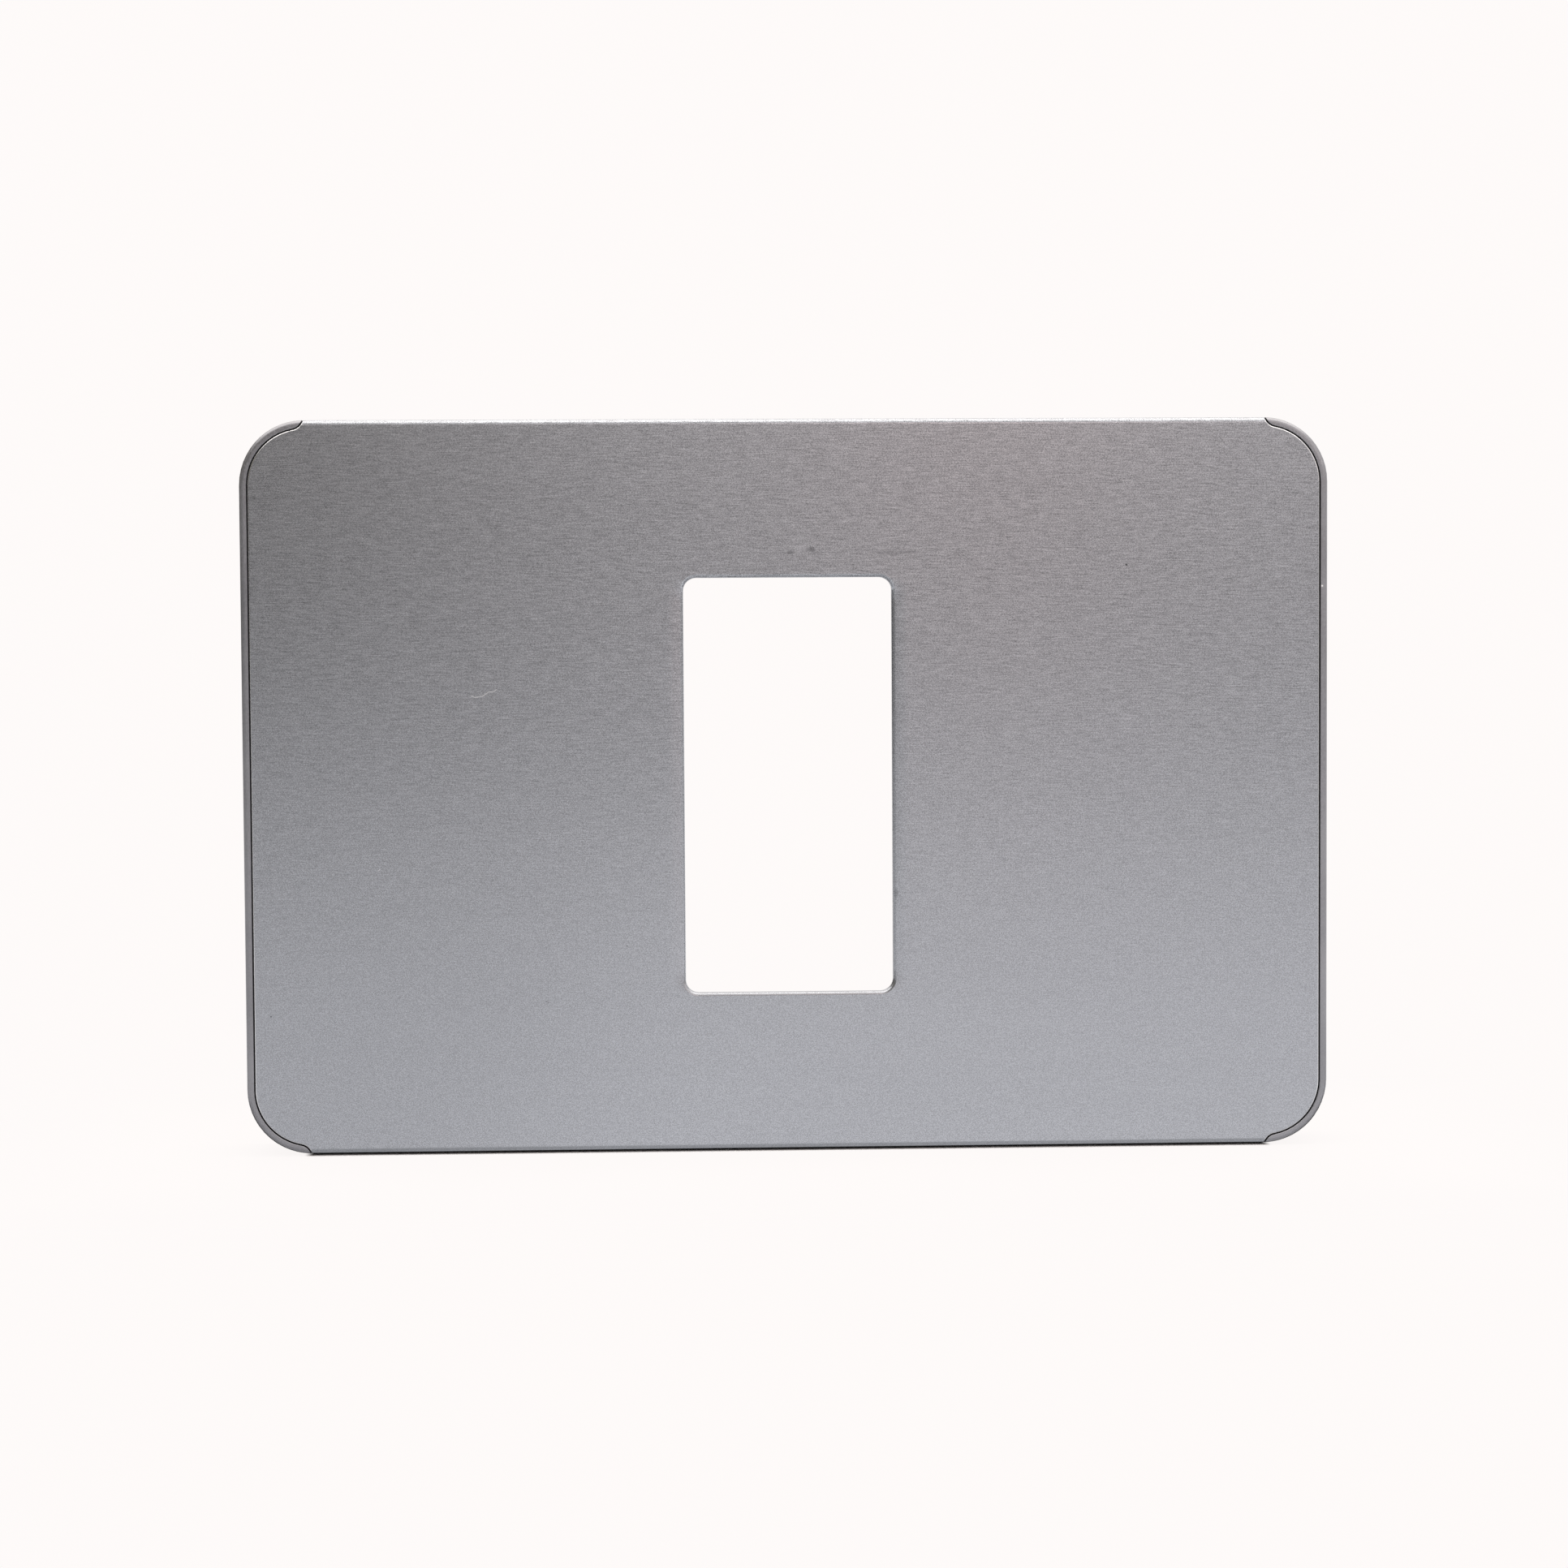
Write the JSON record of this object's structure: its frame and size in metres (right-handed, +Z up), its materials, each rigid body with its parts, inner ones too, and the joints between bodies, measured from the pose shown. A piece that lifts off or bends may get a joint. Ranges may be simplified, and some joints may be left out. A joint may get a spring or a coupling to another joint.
{
  "type": "switch plate",
  "caption": "Horizontal wall plate for light switches: a brushed aluminium face sheet with one module window, folded over a grey moulded plastic back frame that snaps onto a mounting strap.",
  "frame": {"origin": "centre of the plate on the wall plane, which is the back frame's flat rear rim", "axes": "+X along the plate's length to the right as seen from the front, +Z up, front face towards -Y, +Y into the wall"},
  "size_m": [0.118, 0.009, 0.0794],
  "materials": {
    "brushed_face": "brushed along the length, satin",
    "frame_plastic": "fine matt moulded, silver grey"
  },
  "bodies": {
    "root": {"face_plate": "brushed_face", "back_frame": "frame_plastic"}
  },
  "joints": []
}
